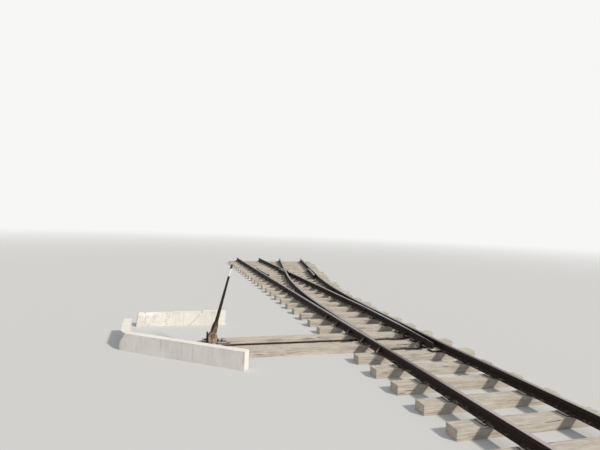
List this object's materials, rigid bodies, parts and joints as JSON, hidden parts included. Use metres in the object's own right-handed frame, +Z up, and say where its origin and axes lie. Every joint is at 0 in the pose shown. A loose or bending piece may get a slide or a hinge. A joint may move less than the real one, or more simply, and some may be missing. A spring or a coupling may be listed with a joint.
{
  "type": "railway turnout with hand lever",
  "caption": "Hand-worked metre-gauge railway turnout with planed switch blades, rail crossing, check rails, timbers, a hand lever and a concrete kerb.",
  "frame": {"origin": "underside of the timber at the toe of the points, on the straight track's centreline", "axes": "+Y along the straight track from the points to the crossing, +X to the branch's side, +Z up"},
  "size_m": [7.5, 18.661, 1.3872],
  "materials": {
    "rail_steel": "rusted, worn on top",
    "plate_steel": "rusted",
    "forged_iron": "rusted, hand worn",
    "timber": "weathered and dusty",
    "concrete": "board marked, sun bleached"
  },
  "bodies": {
    "track": {"stock_rail_left": "rail_steel", "outer_rail_left": "rail_steel", "stock_rail_right": "rail_steel", "outer_rail_right": "rail_steel", "closure_rail_curved": "rail_steel", "closure_rail_straight": "rail_steel", "wing_rail_left": "rail_steel", "wing_rail_right": "rail_steel", "crossing_nose": "rail_steel", "nose_blocks": "plate_steel", "heel_rail_main": "rail_steel", "heel_rail_branch": "rail_steel", "check_rail_left": "rail_steel", "check_rail_right": "rail_steel", "check_rail_blocks": "plate_steel", "heel_blocks": "plate_steel", "heel_chair_left": "plate_steel", "heel_chair_right": "plate_steel", "slide_plates_left": "plate_steel", "slide_plates_right": "plate_steel", "tie_plates_near": "plate_steel", "tie_plates_closure": "plate_steel", "tie_plates_crossing": "plate_steel", "outer_fishplates": "plate_steel", "crossing_fishplates": "plate_steel", "timbers_near": "timber", "headblock_near": "timber", "headblock_far": "timber", "timbers_switch": "timber", "timbers_closure": "timber", "timbers_crossing": "timber", "stand_plate": "forged_iron", "bearing_cheek_near": "forged_iron", "bearing_cheek_far": "forged_iron", "stop_blocks": "forged_iron", "rod_guard": "forged_iron", "kerb_front": "concrete", "kerb_end": "concrete", "kerb_back": "concrete"},
    "lever": {"lever_forging": "forged_iron", "lever_bar": "forged_iron", "lever_tip": "forged_iron", "pivot_pin": "forged_iron"},
    "rod": {"throw_rod": "forged_iron", "crank_pin": "forged_iron", "rear_stretcher": "rail_steel"},
    "front_bar": {"front_stretcher": "rail_steel"},
    "blade_left": {"switch_blade_left": "rail_steel"},
    "blade_right": {"switch_blade_right": "rail_steel"}
  },
  "joints": [
    {"name": "lever_swing", "type": "hinge", "parent": "track", "child": "lever", "pos_m": [-3.02, 0.9, 0.2656], "axis": [0, -1, 0], "range_deg": [0, 26.8]},
    {"name": "rod_slide", "type": "slide", "parent": "track", "child": "rod", "axis": [1, 0, 0], "range_m": [0, 0.08]},
    {"name": "front_bar_slide", "type": "slide", "parent": "track", "child": "front_bar", "axis": [1, 0, 0], "range_m": [0, 0.10342]},
    {"name": "blade_left_swing", "type": "hinge", "parent": "track", "child": "blade_left", "pos_m": [-0.41488, 2.95, 0.154], "axis": [0, 0, 1], "range_deg": [0, 2.24]},
    {"name": "blade_right_swing", "type": "hinge", "parent": "track", "child": "blade_right", "pos_m": [0.5317, 2.95113, 0.154], "axis": [0, 0, 1], "range_deg": [0, 2.24]}
  ],
  "couplings": [
    {"joint": "rod_slide", "follows": "lever_swing", "m_per_rad": 0.17103},
    {"joint": "front_bar_slide", "follows": "lever_swing", "m_per_rad": 0.22109},
    {"joint": "blade_left_swing", "follows": "lever_swing", "ratio": 0.083419},
    {"joint": "blade_right_swing", "follows": "lever_swing", "ratio": 0.083419}
  ]
}
